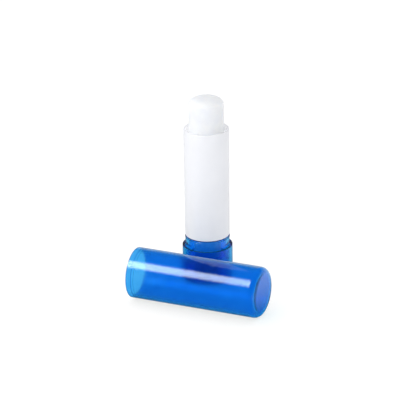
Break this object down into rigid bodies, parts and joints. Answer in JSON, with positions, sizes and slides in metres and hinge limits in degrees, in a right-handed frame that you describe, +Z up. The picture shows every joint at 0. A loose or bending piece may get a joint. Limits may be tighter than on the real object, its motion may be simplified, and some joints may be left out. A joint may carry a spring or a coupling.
{
  "type": "lip balm stick",
  "caption": "Twist-up lip balm stick: white barrel on a translucent blue base with a screw inside, balm wound up, and its translucent blue cap lying beside it.",
  "frame": {"origin": "centre of the base's underside, on the stick's axis, where the stick stands on the table", "axes": "+Z up along the stick's axis, +Y away from the viewer of the picture, +X to the viewer's right"},
  "size_m": [0.0554, 0.0568, 0.0747],
  "materials": {
    "blue_shell": "polished translucent polystyrene",
    "blue_collar": "polished translucent polystyrene",
    "blue_cap": "polished translucent polystyrene",
    "white_barrel": "smooth white polypropylene",
    "spindle_plastic": "natural moulded polyethylene",
    "carrier_plastic": "white moulded polypropylene",
    "wax": "smooth cast wax, slightly translucent"
  },
  "bodies": {
    "base": {"base_shell": "blue_shell", "collar": "blue_collar", "spindle": "spindle_plastic"},
    "barrel": {"barrel": "white_barrel"},
    "carrier": {"carrier": "carrier_plastic", "balm": "wax"},
    "cap": {"cap": "blue_cap"}
  },
  "joints": [
    {"name": "barrel_turn", "type": "hinge", "parent": "base", "child": "barrel", "pos_m": [0, 0, 0.0182], "axis": [0, 0, 1], "range_deg": [-1188, 1602]},
    {"name": "carrier_rise", "type": "slide", "parent": "barrel", "child": "carrier", "axis": [0, 0, 1], "range_m": [-0.0132, 0.0178]},
    {"name": "cap_lift", "type": "slide", "parent": "base", "child": "cap", "axis": [0, 0, 1], "range_m": [0, 0.06]}
  ],
  "couplings": [
    {"joint": "carrier_rise", "follows": "barrel_turn", "m_per_rad": 0.00063662}
  ]
}
